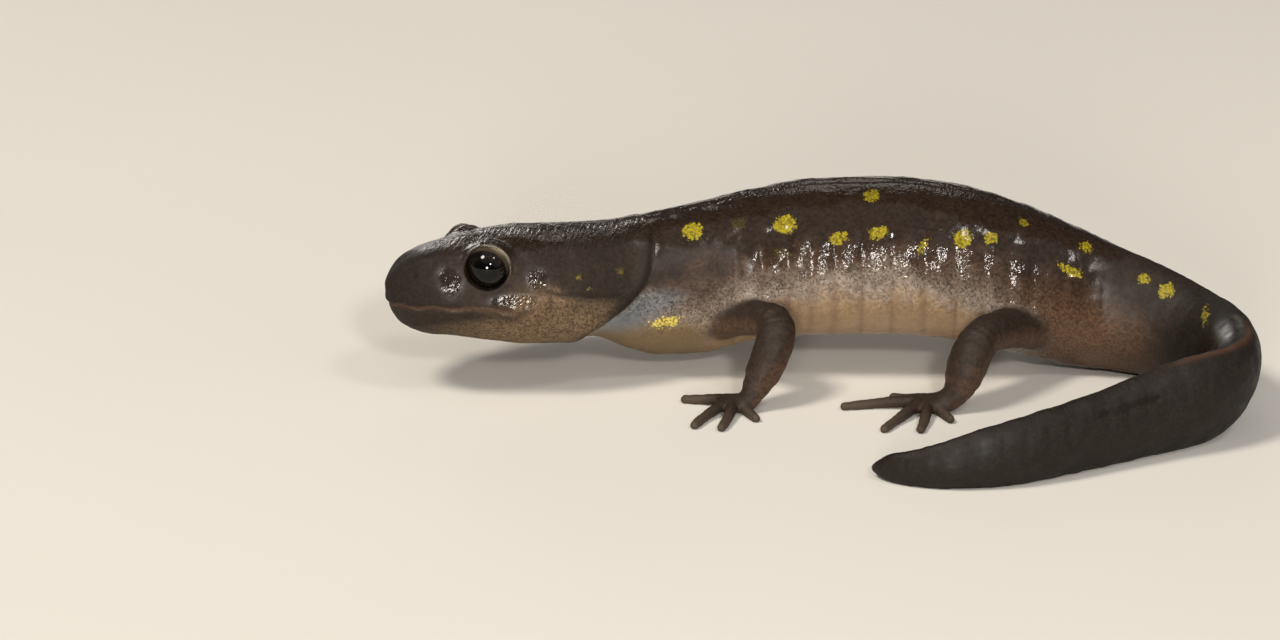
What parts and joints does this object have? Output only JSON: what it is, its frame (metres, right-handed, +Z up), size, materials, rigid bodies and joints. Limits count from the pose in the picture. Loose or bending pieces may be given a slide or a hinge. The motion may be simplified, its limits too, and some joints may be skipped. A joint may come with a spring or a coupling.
{
  "type": "spotted salamander, life-size still model",
  "caption": "Young spotted salamander standing on four bent legs, head turned left, tail curled round on the floor; still life-size figure.",
  "frame": {"origin": "centre of the animal's box, on the floor it stands on", "axes": "+X towards the curl of the tail, away from the nose; -Y on the animal's left; +Z up"},
  "size_m": [0.0494, 0.0328, 0.0109],
  "materials": {
    "skin": "moist amphibian skin: dark brown back, stippled grey flank, paler belly, small yellow spots, thin wet gloss",
    "eye": "wet black eyeball with a narrow dark bronze iris"
  },
  "bodies": {
    "root": {"head": "skin", "lower_jaw": "skin", "eye_left": "eye", "eye_right": "eye", "neck": "skin", "trunk": "skin", "tail_base": "skin", "tail_bend": "skin", "tail_middle": "skin", "tail_tip": "skin", "upper_arm_left": "skin", "forearm_left": "skin", "hand_left": "skin", "upper_arm_right": "skin", "forearm_right": "skin", "hand_right": "skin", "thigh_left": "skin", "shin_left": "skin", "foot_left": "skin", "thigh_right": "skin", "shin_right": "skin", "foot_right": "skin"}
  },
  "joints": []
}
